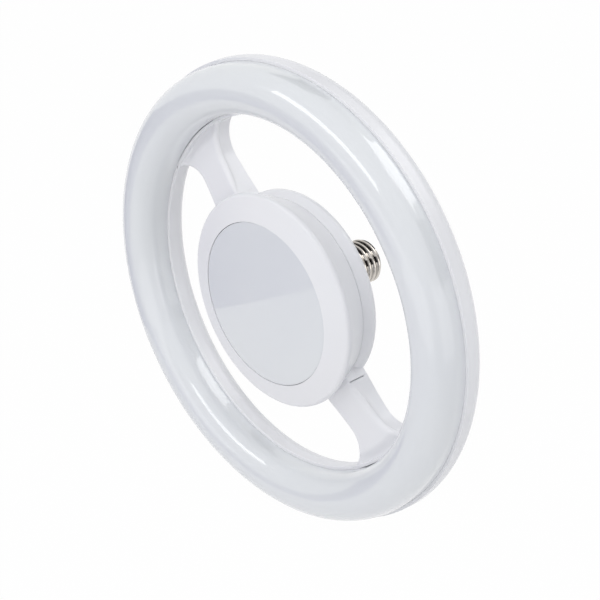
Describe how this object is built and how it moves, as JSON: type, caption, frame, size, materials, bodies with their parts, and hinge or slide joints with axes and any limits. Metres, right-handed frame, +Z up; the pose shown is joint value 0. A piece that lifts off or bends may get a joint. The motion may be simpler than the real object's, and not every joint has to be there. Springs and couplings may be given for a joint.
{
  "type": "led ring bulb",
  "caption": "Ring-shaped LED lamp: a glowing round tube on flat arms around a round centre light, with an Edison screw cap at its back.",
  "frame": {"origin": "middle of the screw cap's open rim, where the cap meets the neck", "axes": "+Y along the lamp's axis towards the cap's contact, the lights face -Y, +Z up"},
  "size_m": [0.27, 0.0864, 0.27],
  "materials": {
    "white_housing": "smooth, slightly glossy",
    "opal": "glossy translucent white",
    "nickel": "bright nickel plate",
    "brass_contact": "satin",
    "cap_glass": "black, fired",
    "led_board": "white solder mask",
    "led_package": "yellow phosphor",
    "steel": "zinc plated",
    "solder": "tinned",
    "circuit_board": "phenolic paper",
    "ferrite": "ground",
    "coil_tape": "yellow tape",
    "capacitor_sleeve": "shrunk sleeve",
    "film_box": "moulded box",
    "epoxy": "moulded",
    "resistor_body": "flameproof lacquer",
    "red_wire": "insulated wire",
    "black_wire": "insulated wire",
    "white_wire": "insulated wire"
  },
  "bodies": {
    "root": {"ring_frame": "white_housing", "ring_diffuser": "opal", "ring_board_1": "led_board", "ring_board_2": "led_board", "ring_board_3": "led_board", "ring_board_4": "led_board", "ring_leds": "led_package", "ring_board_screws": "steel", "ring_board_links": "solder", "upper_arm_cover": "white_housing", "lower_arm_cover": "white_housing", "ring_lead_positive": "red_wire", "ring_lead_negative": "black_wire", "hub_front": "white_housing", "hub_diffuser": "opal", "hub_board": "led_board", "hub_leds": "led_package", "hub_board_screws": "steel", "hub_board_leads": "white_wire", "hub_back": "white_housing", "hub_screws": "steel", "driver_board": "circuit_board", "driver_screws": "steel", "transformer_core": "ferrite", "transformer_winding": "coil_tape", "input_capacitor": "capacitor_sleeve", "output_capacitor": "capacitor_sleeve", "film_capacitor": "film_box", "bridge_rectifier": "epoxy", "driver_chip": "epoxy", "fuse_resistor": "resistor_body", "choke": "epoxy", "live_lead": "black_wire", "neutral_lead": "white_wire", "cap_shell": "nickel", "cap_insulator": "cap_glass", "centre_contact": "brass_contact"}
  },
  "joints": []
}
